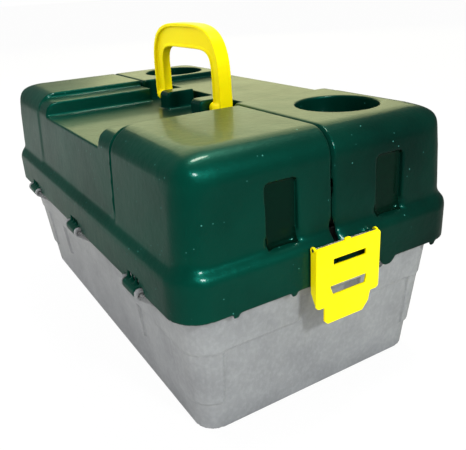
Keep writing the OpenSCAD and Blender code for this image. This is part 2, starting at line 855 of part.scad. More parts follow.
module latch_outline() {
    hw = latch_w / 2;
    tw = tab_w / 2;
    r = 3;
    difference() {
        union() {
            translate([-hw, latch_mid + r]) square([2 * hw, latch_top - latch_mid - 2 * r]);
            translate([r - hw, latch_mid]) square([2 * hw - 2 * r, latch_top - latch_mid]);
            for (s = [-1, 1], z = [latch_mid + r, latch_top - r])
                translate([s * (hw - r), z]) circle(r);
            polygon([[-tw, latch_mid + 1], [-tw, latch_low + 3], [3 - tw, latch_low],
                [tw - 8, latch_low], [tw - 2, latch_low + 7], [tw, latch_mid + 1]]);
            translate([-4, latch_top - 1]) square([5, 3]);
        }
        translate([1 - slot_w / 2, slot_hi[0]]) square([slot_w, slot_hi[1] - slot_hi[0]]);
        polygon([[1 - slot_w / 2, slot_lo[0]], [1 + slot_w / 2, slot_lo[0]],
            [1 + slot_w / 2 + slot_flare / 2, slot_lo[1]],
            [1 - slot_w / 2 - slot_flare, slot_lo[1]]]);
    }
}

module latch(e) {
    pin_y = latch_front - latch_pin_y;
    color(yellow) difference() {
        union() {
            translate([latch_x, e * (latch_front - latch_t / 2), 0]) rotate([90, 0, 0])
                linear_extrude(latch_t, center = true) latch_outline();
            for (x = [latch_x - latch_w / 2, latch_x + latch_w / 2 - flange_t])
                latch_flange(e, x, pin_y);
        }
        bar_x(e * latch_pin_y, latch_pin_z, latch_pin_r + run_gap, -far / 2, far / 2);
    }
}

// Side flange that reaches back to the pin
module latch_flange(e, x, pin_y) {
    r = 2.1;
    y0 = latch_front - 1;
    bar_x(e * latch_pin_y, latch_pin_z, r + 0.5, x, x + flange_t);
    translate([x, 0, 0]) rotate([90, 0, 90]) linear_extrude(flange_t)
        polygon([[e * y0, latch_top - 3], [e * y0, latch_mid + 3],
            [e * (latch_back - 1), latch_mid + 5], [e * (latch_pin_y - r), latch_mid + 12],
            [e * (latch_pin_y - r), latch_pin_z], [e * latch_pin_y, latch_pin_z + r]]);
}

module front_latch() { latch(-1); }
module rear_latch() { latch(1); }

module latch_pin(e) {
    color(steel)
        bar_x(e * latch_pin_y, latch_pin_z, latch_pin_r, latch_x - latch_w / 2 + 0.2,
            latch_x + latch_w / 2 - 0.2);
}

module front_latch_pin() { latch_pin(-1); }
module rear_latch_pin() { latch_pin(1); }

// ---------------------------------------------------------------- trays

// Height of the floor of tray i, where 0 is the lowest
function tray_floor(i) = tray_z + i * tray_step;

module tray(s, i) {
    z = tray_floor(i);
    cx = s * (tray_x0 + tray_x1) / 2;
    hx = (tray_x1 - tray_x0) / 2;
    hy = tray_len / 2;
    color(tray_grey) difference() {
        translate([cx, 0, 0]) prism(hx, hy, tray_corner, z, z + tray_h);
        translate([cx, 0, 0]) prism(hx - tray_wall, hy - tray_wall, tray_corner - tray_wall,
            z + tray_wall, z + tray_h + 1);
        bar_y(s * (arm_pin_x - i * arm_pin_dx), z + arm_pin_h, rivet_r + run_gap, -hy - 1, hy + 1);
        bar_y(s * (arm_pin_x - arm_gap - i * arm_pin_dx), z + arm_pin_h, rivet_r + open_gap,
            -hy - 1, hy + 1);
    }
}

module left_lower_tray() { tray(-1, 0); }
module left_middle_tray() { tray(-1, 1); }
module left_upper_tray() { tray(-1, 2); }
module right_lower_tray() { tray(1, 0); }
module right_middle_tray() { tray(1, 1); }
module right_upper_tray() { tray(1, 2); }

// Dividers across tray i: count plates, evenly spread
module dividers(s, i, count) {
    z = tray_floor(i) + tray_wall;
    x0 = s > 0 ? tray_x0 : -tray_x1;
    pitch = 2 * tray_in / (count + 1);
    color(tray_grey) for (k = [1 : count])
        translate([x0 + tray_wall + seat_gap, k * pitch - tray_in - divider_t / 2, z])
            cube([tray_x1 - tray_x0 - 2 * tray_wall - 2 * seat_gap, divider_t, divider_h]);
}

module left_lower_dividers() { dividers(-1, 0, 2); }
module left_middle_dividers() { dividers(-1, 1, 3); }
module left_upper_dividers() { dividers(-1, 2, 3); }
module right_lower_dividers() { dividers(1, 0, 2); }
module right_middle_dividers() { dividers(1, 1, 3); }
module right_upper_dividers() { dividers(1, 2, 3); }

// ---------------------------------------------------------------- tray arms

// Centres of an arm's holes, from the tub to the upper tray; shift moves the inner arm in
function arm_points(shift) = concat([[arm_x - shift, arm_z]],
    [for (i = [0 : 2]) [arm_pin_x - shift - i * arm_pin_dx, tray_floor(i) + arm_pin_h]]);

module arm_link(a, b) {
    d = b - a;
    translate(a) rotate(atan2(d[1], d[0])) translate([0, -arm_r]) square([norm(d), 2 * arm_r]);
}

module arm_outline(shift) {
    p = arm_points(shift);
    difference() {
        union() {
            for (i = [0 : 2]) arm_link(p[i], p[i + 1]);
            for (q = p) translate(q) circle(arm_r);
        }
        for (q = p) translate(q) circle(rivet_r + run_gap / 2);
    }
}

module arm(s, e, shift) {
    color(steel) translate([0, e * (arm_y + arm_t / 2), 0]) rotate([90, 0, 0])
        linear_extrude(arm_t, center = true) mirror([s > 0 ? 0 : 1, 0]) arm_outline(shift);
}

module left_front_outer_arm() { arm(-1, -1, 0); }
module left_rear_outer_arm() { arm(-1, 1, 0); }
module left_front_inner_arm() { arm(-1, -1, arm_gap); }
module left_rear_inner_arm() { arm(-1, 1, arm_gap); }
module right_front_outer_arm() { arm(1, -1, 0); }
module right_rear_outer_arm() { arm(1, 1, 0); }
module right_front_inner_arm() { arm(1, -1, arm_gap); }
module right_rear_inner_arm() { arm(1, 1, arm_gap); }

// Rivet in hole q of an arm at the end e; the first one enters the tub's boss
module rivet(q, s, e, in_tub) {
    y_in = in_tub ? arm_y : tray_in;
    y_out = in_tub ? pivot_face + 6 : arm_face;
    mirror([0, e > 0 ? 0 : 1, 0]) {
        bar_y(s * q[0], q[1], rivet_r, y_in - head_t, y_out);
        bar_y(s * q[0], q[1], head_r, y_in - head_t, y_in - 0.1);
    }
}

module rivets(s, shift) {
    p = arm_points(shift);
    color(steel) for (e = [-1, 1], i = [0 : 3]) rivet(p[i], s, e, i == 0);
}

module left_outer_rivets() { rivets(-1, 0); }
module left_inner_rivets() { rivets(-1, arm_gap); }
module right_outer_rivets() { rivets(1, 0); }
module right_inner_rivets() { rivets(1, arm_gap); }

base_tub();
left_lid();
right_lid();
left_hinge_pins();
right_hinge_pins();
carry_handle();
front_latch();
rear_latch();
front_latch_pin();
rear_latch_pin();
left_lower_tray();
left_middle_tray();
left_upper_tray();
right_lower_tray();
right_middle_tray();
right_upper_tray();
left_lower_dividers();
left_middle_dividers();
left_upper_dividers();
right_lower_dividers();
right_middle_dividers();
right_upper_dividers();
left_front_outer_arm();
left_rear_outer_arm();
left_front_inner_arm();
left_rear_inner_arm();
right_front_outer_arm();
right_rear_outer_arm();
right_front_inner_arm();
right_rear_inner_arm();
left_outer_rivets();
left_inner_rivets();
right_outer_rivets();
right_inner_rivets();
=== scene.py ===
"""Looks of the hip-roof tackle box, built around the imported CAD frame.

Every moulded piece is a finished copy of its CAD node: merged, remeshed evenly, relaxed until its
edges are round, and thinned. Pins, rivets, arms and dividers are the CAD nodes themselves, with
broken edges. The hooked ribs on the tub's sides are the only surfaces worked out here.
"""

import json
import logging
import math
from dataclasses import dataclass, field
from enum import Enum
from typing import Any, Sequence

import bmesh
import bpy
import numpy as np
from mathutils import Matrix, Vector

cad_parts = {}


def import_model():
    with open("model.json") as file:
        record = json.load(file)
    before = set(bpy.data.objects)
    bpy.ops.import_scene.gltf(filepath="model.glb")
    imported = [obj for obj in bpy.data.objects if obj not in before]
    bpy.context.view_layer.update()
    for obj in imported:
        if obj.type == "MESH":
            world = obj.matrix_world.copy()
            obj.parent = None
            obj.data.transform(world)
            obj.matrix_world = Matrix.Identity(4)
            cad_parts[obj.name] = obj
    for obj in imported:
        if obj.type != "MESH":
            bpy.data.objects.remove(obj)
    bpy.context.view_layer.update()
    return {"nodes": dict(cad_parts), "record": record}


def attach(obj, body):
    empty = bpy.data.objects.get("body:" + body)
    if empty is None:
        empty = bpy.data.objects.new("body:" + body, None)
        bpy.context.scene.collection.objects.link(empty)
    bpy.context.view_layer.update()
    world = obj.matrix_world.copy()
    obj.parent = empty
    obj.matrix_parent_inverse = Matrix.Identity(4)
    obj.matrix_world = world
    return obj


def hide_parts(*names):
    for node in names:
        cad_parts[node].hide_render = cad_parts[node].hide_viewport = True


log = logging.getLogger("tackle_box")
MM = 0.001
SAME_POINT = 2e-6
WHITE = (1.0, 1.0, 1.0, 1.0)
EVEN = (1.0, 1.0, 1.0)
Triple = tuple[float, float, float]
Colour = tuple[float, float, float, float]


# ------------------------------------------------------------------ shader maths


class Term:
    """A socket of a node tree that takes part in ordinary arithmetic."""

    def __init__(self, tree: "Tree", socket: bpy.types.NodeSocket) -> None:
        """Wraps an output socket of one of the tree's nodes."""
        self.tree, self.socket = tree, socket

    def _join(self, kind: str, a: Any, b: Any) -> "Term":
        """Adds one Math node of the given kind."""
        return self.tree.add("ShaderNodeMath", {"operation": kind}, {0: a, 1: b})

    def __add__(self, other: Any) -> "Term":
        """self + other."""
        return self._join("ADD", self, other)

    def __radd__(self, other: Any) -> "Term":
        """other + self."""
        return self._join("ADD", other, self)

    def __sub__(self, other: Any) -> "Term":
        """self - other."""
        return self._join("SUBTRACT", self, other)

    def __rsub__(self, other: Any) -> "Term":
        """other - self."""
        return self._join("SUBTRACT", other, self)

    def __mul__(self, other: Any) -> "Term":
        """self * other."""
        return self._join("MULTIPLY", self, other)

    def __rmul__(self, other: Any) -> "Term":
        """other * self."""
        return self._join("MULTIPLY", other, self)

    def __gt__(self, other: Any) -> "Term":
        """1 where self is above other, else 0."""
        return self._join("GREATER_THAN", self, other)

    def __lt__(self, other: Any) -> "Term":
        """1 where self is below other, else 0."""
        return self._join("LESS_THAN", self, other)

    def size(self) -> "Term":
        """self without its sign."""
        return self.tree.add("ShaderNodeMath", {"operation": "ABSOLUTE"}, {0: self})

    def part(self, axis: str) -> "Term":
        """The X, Y or Z of a vector."""
        return self.tree.add("ShaderNodeSeparateXYZ", {}, {"Vector": self}, axis)

    def clamped(self) -> "Term":
        """self held between 0 and 1."""
        return self.tree.add("ShaderNodeClamp", {}, {"Value": self})


class Tree:
    """Builds the nodes of one material or world."""

    def __init__(self, holder: bpy.types.Material | bpy.types.World) -> None:
        """Starts an empty tree.

        Args:
            holder: the material or world that the nodes belong to.
        """
        self.holder = holder
        holder.use_nodes = True
        self.nodes, self.links = holder.node_tree.nodes, holder.node_tree.links
        self.nodes.clear()

    def add(
        self, kind: str, settings: dict[str, Any], inputs: dict[Any, Any], out: Any = 0
    ) -> Term:
        """Adds any node.

        Args:
            kind: the node's type.
            settings: the node's own properties, set first; "ramp" holds a ramp's stops.
            inputs: values, colours or terms by socket name or number.
            out: the output socket to return, by name or number.

        Returns:
            The chosen output as a term.
        """
        node = self.nodes.new(kind)
        for key, value in settings.items():
            if key == "ramp":
                self._stops(node.color_ramp, value)
            else:
                setattr(node, key, value)
        for key, value in inputs.items():
            socket = node.inputs[key]
            if isinstance(value, Term):
                self.links.new(value.socket, socket)
            else:
                socket.default_value = value
        return Term(self, node.outputs[out])

    @staticmethod
    def _stops(ramp: bpy.types.ColorRamp, stops: Sequence[tuple[float, float]]) -> None:
        """Writes grey stops into a colour ramp, which starts with two.

        Args:
            ramp: the ramp.
            stops: two stops, each as its place and its level.
        """
        for element, (place, level) in zip(ramp.elements, stops):
            element.position = place
            element.color = (level, level, level, 1.0)

    def place(self, scale: Triple = EVEN) -> Term:
        """Object coordinates in metres, stretched by scale."""
        here = self.add("ShaderNodeTexCoord", {}, {}, "Object")
        return self.add("ShaderNodeMapping", {}, {"Vector": here, "Scale": scale}, "Vector")

    def noise(self, size: float, detail: float, stretch: Triple = EVEN) -> Term:
        """Cloudy noise from 0 to 1, in clouds size metres wide with detail octaves."""
        given = {"Vector": self.place(stretch), "Scale": 1.0 / size, "Detail": detail}
        return self.add("ShaderNodeTexNoise", {"noise_dimensions": "3D"}, given, "Fac")

    def cells(self, size: float) -> Term:
        """Distance to the nearest of many scattered points, in cell widths."""
        given = {"Vector": self.place(), "Scale": 1.0 / size, "Randomness": 1.0}
        return self.add("ShaderNodeTexVoronoi", {"feature": "F1"}, given, "Distance")

    def ramp(self, value: Term, *stops: tuple[float, float]) -> Term:
        """value through a grey ramp with the given two stops."""
        return self.add("ShaderNodeValToRGB", {"ramp": stops}, {"Fac": value}, "Color")

    def mix(self, amount: Any, a: Any, b: Any) -> Term:
        """Colour a turning into b as amount goes from 0 to 1."""
        given = {0: amount, 6: a, 7: b}
        return self.add("ShaderNodeMix", {"data_type": "RGBA"}, given, 2)

    def ray(self, kind: str) -> Term:
        """1 for rays of the given kind, as the Light Path node names them, else 0."""
        return self.add("ShaderNodeLightPath", {}, {}, kind)

    def surface(self, inputs: dict[str, Any]) -> bpy.types.Material:
        """Ends the material in a Principled shader with the given inputs."""
        return self.end(self.add("ShaderNodeBsdfPrincipled", {}, inputs, "BSDF"))

    def end(
        self, shader: Term, output: str = "ShaderNodeOutputMaterial"
    ) -> bpy.types.Material | bpy.types.World:
        """Links a shader to the output and returns the material or world."""
        self.links.new(shader.socket, self.nodes.new(output).inputs["Surface"])
        return self.holder


def colour(red: float, green: float, blue: float) -> Colour:
    """An opaque colour from its linear parts."""
    return (red, green, blue, 1.0)


# ------------------------------------------------------------------ patterns of the finishes


@dataclass(frozen=True)
class Cloud:
    """Noise whose levels from start to end are spread over 0 to 1, in clouds size metres wide."""

    size: float
    detail: float
    start: float
    end: float
    stretch: Triple = EVEN

    def level(self, tree: Tree) -> Term:
        """The cloud's strength: 0 up to start, 1 from end on."""
        noise = tree.noise(self.size, self.detail, self.stretch)
        return tree.ramp(noise, (self.start, 0.0), (self.end, 1.0))


@dataclass(frozen=True)
class Gloss:
    """Roughness that wanders about its mean by half of swing either way."""

    mean: float
    swing: float
    size: float
    detail: float

    def level(self, tree: Tree) -> Term:
        """mean + swing (noise - 1/2)."""
        return tree.noise(self.size, self.detail) * self.swing + (self.mean - self.swing / 2)


@dataclass(frozen=True)
class Relief:
    """Noise, size metres wide, that stands up to depth metres above a skin."""

    size: float
    detail: float
    depth: float
    stretch: Triple = EVEN

    def over(self, tree: Tree, under: Term | None) -> Term:
        """Lays the relief over another one.

        Args:
            tree: the tree of the material.
            under: the normal of the relief below, if there is one.

        Returns:
            The normal of both.
        """
        noise = tree.noise(self.size, self.detail, self.stretch)
        given = {"Height": noise, "Distance": self.depth}
        if under is not None:
            given["Normal"] = under
        return tree.add("ShaderNodeBump", {}, given, "Normal")


def layered(tree: Tree, reliefs: Sequence[Relief]) -> Term | None:
    """The normal of several reliefs.

    Args:
        tree: the tree of the material.
        reliefs: the reliefs, each laid over the one before.

    Returns:
        The normal of the last one.
    """
    normal = None
    for relief in reliefs:
        normal = relief.over(tree, normal)
    return normal


@dataclass(frozen=True)
class PaintedShadeAcrossX:
    """Painted shade: a slow darkening across the box, from start to end in x, that makes up a share
    of the shade.
    """

    start: float
    end: float
    share: float

    def across(self, tree: Tree, clouds: Term) -> Term:
        """(1 - share) clouds + share (x - start) / (end - start), the latter held to 0..1.

        Args:
            tree: the tree of the material.
            clouds: the rest of the shade.

        Returns:
            The whole shade: the random clouds and the painted shade.
        """
        run = (tree.place().part("X") - self.start) * (1.0 / (self.end - self.start))
        return clouds * (1.0 - self.share) + run.clamped() * self.share


@dataclass(frozen=True)
class Specks:
    """Pale specks, at most one to a cell, where the patches let them show.

    A speck reaches reach cell widths from its middle, and fades out over edge more.
    """

    cell: float = 7 * MM
    reach: float = 0.06
    edge: float = 0.03
    patches: Cloud = Cloud(size=30 * MM, detail=3.0, start=0.43, end=0.52)
    skin: Colour = (0.05, 0.22, 0.19, 1.0)

    def over(self, tree: Tree, skin: Term) -> Term:
        """The given skin with the specks on it."""
        spots = tree.ramp(tree.cells(self.cell), (self.reach, 1.0), (self.reach + self.edge, 0.0))
        return tree.mix(spots * self.patches.level(tree), skin, self.skin)


@dataclass(frozen=True)
class GlossyPadsWithPaintedShade:
    """Upright polished rectangles of a mould, darkened with painted shade: where they are, and how
    they look.
    """

    middles: tuple[float, ...]
    half: float
    beyond: float
    low: float
    high: float
    # painted shade: the rectangles' dark colour
    skin: Colour
    gloss: float

    def mask(self, tree: Tree) -> Term:
        """1 where x is within half of a middle, |y| is past beyond and z is from low to high.

        Args:
            tree: the tree of the material that has the pads.

        Returns:
            The mask as a term.
        """
        here = tree.place()
        x, y, z = (here.part(axis) for axis in "XYZ")
        across = sum((x - middle).size() < self.half for middle in self.middles)
        return across * (y.size() > self.beyond) * (z > self.low) * (z < self.high)


# ------------------------------------------------------------------ finishes


@dataclass(frozen=True)
class MouldedPlastic:
    """A coloured moulding: slow shade drift at random, spark-eroded grain, and on some specks,
    painted shade darker towards +x, and polished rectangles darkened with painted shade.
    """

    name: str
    base: Colour
    shade: Colour
    gloss: Gloss
    reliefs: tuple[Relief, ...]
    index: float
    facing_tint: Colour
    drift: Cloud = Cloud(size=60 * MM, detail=4.0, start=0.35, end=0.7)
    coat: float = 0.0
    coat_roughness: float = 0.10
    subsurface: float = 0.0
    subsurface_scale: float = 4 * MM
    # painted shade: on some mouldings, a slow darkening across x
    fade: PaintedShadeAcrossX | None = None
    specks: Specks | None = None
    pads_with_painted_shade: GlossyPadsWithPaintedShade | None = None

    def build(self) -> bpy.types.Material:
        """Makes the material.

        Returns:
            The material.
        """
        tree = Tree(bpy.data.materials.new(self.name))
        shade = self.drift.level(tree)
        # painted shade: the mix leans further to the shade colour towards +x
        if self.fade:
            shade = self.fade.across(tree, shade)
        skin = tree.mix(shade, self.base, self.shade)
        gloss = self.gloss.level(tree)
        if self.specks:
            skin = self.specks.over(tree, skin)
        # painted shade: the rectangles take a dark skin colour; their lower roughness is their own
        if self.pads_with_painted_shade:
            pad_painted_shade_mask = self.pads_with_painted_shade.mask(tree)
            skin = tree.mix(pad_painted_shade_mask, skin, self.pads_with_painted_shade.skin)
            gloss = gloss + pad_painted_shade_mask * (self.pads_with_painted_shade.gloss - self.gloss.mean)
        return tree.surface({
            "Base Color": skin, "Roughness": gloss, "Normal": layered(tree, self.reliefs),
            "IOR": self.index, "Specular Tint": self.facing_tint,
            "Coat Weight": self.coat, "Coat Roughness": self.coat_roughness, "Coat IOR": self.index,
            "Subsurface Weight": self.subsurface, "Subsurface Scale": self.subsurface_scale,
        })


@dataclass(frozen=True)
class CloudyPlastic:
    """Grey filled plastic with pearly flow clouds, fine flecks and a satin skin."""

    name: str
    base: Colour
    pale: Colour
    clouds: Cloud = Cloud(size=35 * MM, detail=6.0, start=0.35, end=0.68)
    flecks: Cloud = Cloud(size=3.5 * MM, detail=4.0, start=0.42, end=0.72, stretch=(1.0, 1.0, 0.8))
    cloud_share: float = 0.55
    gloss: Gloss = Gloss(mean=0.42, swing=0.16, size=20 * MM, detail=4.0)
    reliefs: tuple[Relief, ...] = (
        Relief(size=1.4 * MM, detail=3.0, depth=0.08 * MM),
        Relief(size=11 * MM, detail=2.0, depth=0.22 * MM),
    )
    index: float = 1.48

    def build(self) -> bpy.types.Material:
        """Makes the material.

        Returns:
            The material.
        """
        tree = Tree(bpy.data.materials.new(self.name))
        clouds, flecks = self.clouds.level(tree), self.flecks.level(tree)
        pearl = clouds * self.cloud_share + flecks * (1.0 - self.cloud_share)
        skin, gloss = tree.mix(pearl, self.base, self.pale), self.gloss.level(tree)
        return tree.surface({
            "Base Color": skin, "Roughness": gloss, "Normal": layered(tree, self.reliefs),
            "IOR": self.index,
        })


@dataclass(frozen=True)
class ZincSteel:
    """Zinc-plated steel: drawn lines, spangle and dull patches."""

    name: str
    base: Colour
    dull: Colour
    patches: Cloud = Cloud(size=12 * MM, detail=5.0, start=0.4, end=0.65)
    patch_share: float = 0.6
    spangle_cell: float = 4 * MM
    spangle_span: tuple[float, float] = (0.2, 0.8)
    spangle_share: float = 0.3
    bright_roughness: float = 0.26
    dull_roughness: float = 0.48
    drawn: Relief = Relief(size=0.8 * MM, detail=3.0, depth=0.03 * MM, stretch=(1.0, 0.1, 1.0))

    def build(self) -> bpy.types.Material:
        """Makes the material.

        Returns:
            The material.
        """
        tree = Tree(bpy.data.materials.new(self.name))
        start, end = self.spangle_span
        spangle = tree.ramp(tree.cells(self.spangle_cell), (start, 0.0), (end, 1.0))
        patches = self.patches.level(tree)
        dulled = patches * self.patch_share + spangle * self.spangle_share
        gloss = patches * (self.dull_roughness - self.bright_roughness) + self.bright_roughness
        return tree.surface({
            "Base Color": tree.mix(dulled, self.base, self.dull), "Metallic": 1.0,
            "Roughness": gloss, "Normal": self.drawn.over(tree, None),
        })


class Finish(Enum):
    """The finishes of the box, each with the record's material slot it stands for."""

    LID = "lid_green"
    HANDLE = "handle_yellow"
    TUB = "tub_grey"
    TRAY = "tray_grey"
    STEEL = "arm_steel"


class Paintbox:
    """Makes each finish once and hands it out."""

    recipes = {
        Finish.LID: MouldedPlastic(
            # the shade colour serves both the random drift and the painted shade across x
            "Dark green moulding", colour(0.0003, 0.038, 0.0238), colour(0.0001, 0.006, 0.0040),
            gloss=Gloss(mean=0.36, swing=0.14, size=25 * MM, detail=5.0),
            reliefs=(
                Relief(size=0.9 * MM, detail=2.0, depth=0.09 * MM),
                Relief(size=6 * MM, detail=2.0, depth=0.225 * MM),
            ),
            index=1.33, facing_tint=colour(0.03, 1.0, 0.75), coat=0.30,
            # fade: painted shade that darkens the lids towards +x
            fade=PaintedShadeAcrossX(start=-110 * MM, end=90 * MM, share=0.65), specks=Specks(),
            # the rectangles' dark skin colour is painted shade; their gloss is their own
            pads_with_painted_shade=GlossyPadsWithPaintedShade(
                middles=(-44 * MM, 57 * MM), half=13 * MM, beyond=208.5 * MM,
                low=147 * MM, high=194.5 * MM, skin=colour(0.0001, 0.007, 0.003), gloss=0.24)),
        Finish.HANDLE: MouldedPlastic(
            "Bright yellow moulding", colour(0.98, 0.84, 0.003), colour(0.98, 0.77, 0.002),
            gloss=Gloss(mean=0.34, swing=0.14, size=25 * MM, detail=5.0),
            reliefs=(
                Relief(size=0.9 * MM, detail=2.0, depth=0.04 * MM),
                Relief(size=6 * MM, detail=2.0, depth=0.10 * MM),
            ),
            index=1.35, facing_tint=colour(1.0, 0.9, 0.05), subsurface=0.1),
        Finish.TUB: CloudyPlastic(
            "Silver grey tub plastic", colour(0.220, 0.225, 0.234), colour(0.311, 0.318, 0.325)),
        Finish.TRAY: CloudyPlastic(
            "Light grey tray plastic", colour(0.43, 0.435, 0.44), colour(0.53, 0.535, 0.54)),
        Finish.STEEL: ZincSteel(
            "Zinc plated steel", colour(0.62, 0.62, 0.63), colour(0.42, 0.42, 0.44)),
    }

    def __init__(self) -> None:
        """Starts with nothing made."""
        self.made: dict[Finish, bpy.types.Material] = {}

    def coat(self, piece: bpy.types.Object, finish: Finish) -> bpy.types.Object:
        """Gives a piece its finish.

        Args:
            piece: the mesh object.
            finish: which finish it takes.

        Returns:
            The same piece.
        """
        if finish not in self.made:
            self.made[finish] = self.recipes[finish].build()
        piece.data.materials.clear()
        piece.data.materials.append(self.made[finish])
        return piece


# ------------------------------------------------------------------ meshes


def linked(name: str, data: bpy.types.ID) -> bpy.types.Object:
    """Makes an object and links it to the scene.

    Args:
        name: the object's name.
        data: its mesh, camera or light.

    Returns:
        The object.
    """
    thing = bpy.data.objects.new(name, data)
    bpy.context.scene.collection.objects.link(thing)
    return thing


def ringed_mesh(name: str, rings: np.ndarray) -> bpy.types.Mesh:
    """Makes a closed surface from rings of points, each ring of the two ends shrunk to one place.

    Quad (i, j) joins points j and j + 1 of ring i to those of ring i + 1, with j counted round.

    Args:
        name: the mesh's name.
        rings: the points, shape (rings, points, 3), in metres.

    Returns:
        The mesh, with its ends merged and its faces turned outwards.
    """
    count, steps, _ = rings.shape
    ring, here = np.meshgrid(np.arange(count - 1) * steps, np.arange(steps), indexing="ij")
    after = (here + 1) % steps
    quads = np.stack([ring + here, ring + steps + here, ring + steps + after, ring + after], -1)
    mesh = bpy.data.meshes.new(name)
    mesh.from_pydata(rings.reshape(-1, 3).tolist(), [], quads.reshape(-1, 4).tolist())
    work = bmesh.new()
    work.from_mesh(mesh)
    bmesh.ops.remove_doubles(work, verts=work.verts, dist=SAME_POINT)
    bmesh.ops.recalc_face_normals(work, faces=work.faces)
    work.to_mesh(mesh)
    work.free()
    return mesh


def rib(name: str, path: np.ndarray, radius: float, steps: int = 12) -> bpy.types.Mesh:
    """A rounded rib along a path that lies across x: c(u) + r(u) (cos t a + sin t x).

    a is the path's own side, u runs from -1 to 1, and r(u) = radius sqrt(1 - |u|^12) closes the
    rib at both ends.

    Args:
        name: the rib's name.
        path: points c(u), shape (n, 3), in metres.
        radius: the rib's radius.
        steps: points round the rib.

    Returns:
        The rib's mesh.
    """
    bluntness = 12
    x = np.array((1.0, 0.0, 0.0))
    reach = radius * np.sqrt(1.0 - np.abs(np.linspace(-1.0, 1.0, len(path))) ** bluntness)
    run = np.gradient(path, axis=0)
    side = np.cross(run / np.linalg.norm(run, axis=1)[:, None], x)
    turn = np.arange(steps) * 2 * math.pi / steps
    ring = np.cos(turn)[None, :, None] * side[:, None, :] + np.sin(turn)[None, :, None] * x
    return ringed_mesh(name, path[:, None, :] + reach[:, None, None] * ring)


@dataclass(frozen=True)
class Zone:
    """A box, mirrored in x and y, in which a moulding is rounded further than elsewhere."""

    low: Triple
    high: Triple
    fade: float
    rounds: int

    def weight(self, points: np.ndarray) -> np.ndarray:
        """1 inside the box, falling to 0 over the fade outside it: 1 - d / fade, held to 0..1.

        Args:
            points: places in metres, shape (n, 3), of which |x| and |y| are used.

        Returns:
            One weight for each point.
        """
        at = np.concatenate([np.abs(points[:, :2]), points[:, 2:]], 1)
        beyond = np.maximum(np.array(self.low) - at, at - np.array(self.high)).max(1)
        return np.clip(1.0 - beyond / self.fade, 0.0, 1.0)


def relaxed(
    points: np.ndarray, edges: np.ndarray, weight: np.ndarray, rounds: int
) -> np.ndarray:
    """Moves each point towards the mean m of its neighbours: p + w (m - p) / 2, over and over.

    Args:
        points: places, shape (n, 3).
        edges: pairs of joined points, shape (e, 2).
        weight: how freely each point moves, from 0 to 1, shape (n,).
        rounds: how often it is done.

    Returns:
        The new places.
    """
    near = edges[(weight > 0)[edges].any(1)]
    used, near = np.unique(near, return_inverse=True)
    near = near.reshape(-1, 2)
    start = np.concatenate([near[:, 0], near[:, 1]])
    end = np.concatenate([near[:, 1], near[:, 0]])
    count = np.bincount(start, minlength=len(used))[:, None]
    spot, step = points[used], weight[used][:, None] / 2
    for _ in range(rounds):
        total = np.stack([np.bincount(start, spot[end, i], len(used)) for i in range(3)], 1)
        spot += step * (total / count - spot)
    moved = points.copy()
    moved[used] = spot
    return moved


@dataclass(frozen=True)
class Moulder:
    """Turns a CAD node into a moulding: remeshed fine, relaxed to round its edges, then thinned."""

    grain: float
    relax: int
    faces: int = 180_000
    zones: tuple[Zone, ...] = ()
    flat_weight: int = 80

    def copy(
        self, node: bpy.types.Object, name: str, extras: Sequence[bpy.types.Mesh]
    ) -> bpy.types.Object:
        """Makes the moulding.

        Args:
            node: the CAD node.
            name: the new piece's name.
            extras: closed surfaces that are fused with it, and used up.

        Returns:
            The new piece, with no modifiers left on it.
        """
        work = bmesh.new()
        work.from_mesh(node.data)
        bmesh.ops.remove_doubles(work, verts=work.verts, dist=SAME_POINT)
        for extra in extras:
            work.from_mesh(extra)
            bpy.data.meshes.remove(extra)
        raw = bpy.data.meshes.new(name + "_raw")
        work.to_mesh(raw)
        work.free()
        source = linked(name + "_raw", raw)
        voxels = source.modifiers.new("Even grid", "REMESH")
        voxels.mode, voxels.voxel_size, voxels.use_smooth_shade = "VOXEL", self.grain, True
        dense = self._baked(source, name + "_dense")
        source.modifiers.clear()
        self._round(dense)
        source.data = dense
        thin = source.modifiers.new("Thin the flats", "DECIMATE")
        thin.ratio = min(1.0, self.faces / (2 * len(dense.polygons)))
        flat = source.modifiers.new("Flat faces stay flat", "WEIGHTED_NORMAL")
        flat.weight, flat.keep_sharp = self.flat_weight, False
        mesh = self._baked(source, name)
        bpy.data.objects.remove(source)
        return linked(name, mesh)

    def _round(self, mesh: bpy.types.Mesh) -> None:
        """Relaxes the whole mesh a little, then each zone further.

        Args:
            mesh: the mesh, which is changed.
        """
        points = np.empty(len(mesh.vertices) * 3, np.float32)
        edges = np.empty(len(mesh.edges) * 2, np.int32)
        mesh.vertices.foreach_get("co", points)
        mesh.edges.foreach_get("vertices", edges)
        points, edges = points.reshape(-1, 3).astype(float), edges.reshape(-1, 2)
        points = relaxed(points, edges, np.ones(len(points)), self.relax)
        for zone in self.zones:
            points = relaxed(points, edges, zone.weight(points), zone.rounds)
        mesh.vertices.foreach_set("co", points.astype(np.float32).ravel())
        mesh.update()

    @staticmethod
    def _baked(source: bpy.types.Object, name: str) -> bpy.types.Mesh:
        """Makes a mesh from an object with its modifiers applied.

        Args:
            source: the object.
            name: the new mesh's name.

        Returns:
            The mesh.
        """
        bpy.context.view_layer.update()
        shown = source.evaluated_get(bpy.context.evaluated_depsgraph_get())
        mesh = bpy.data.meshes.new_from_object(shown)
        mesh.name = name
        return mesh


# ------------------------------------------------------------------ sub-assemblies


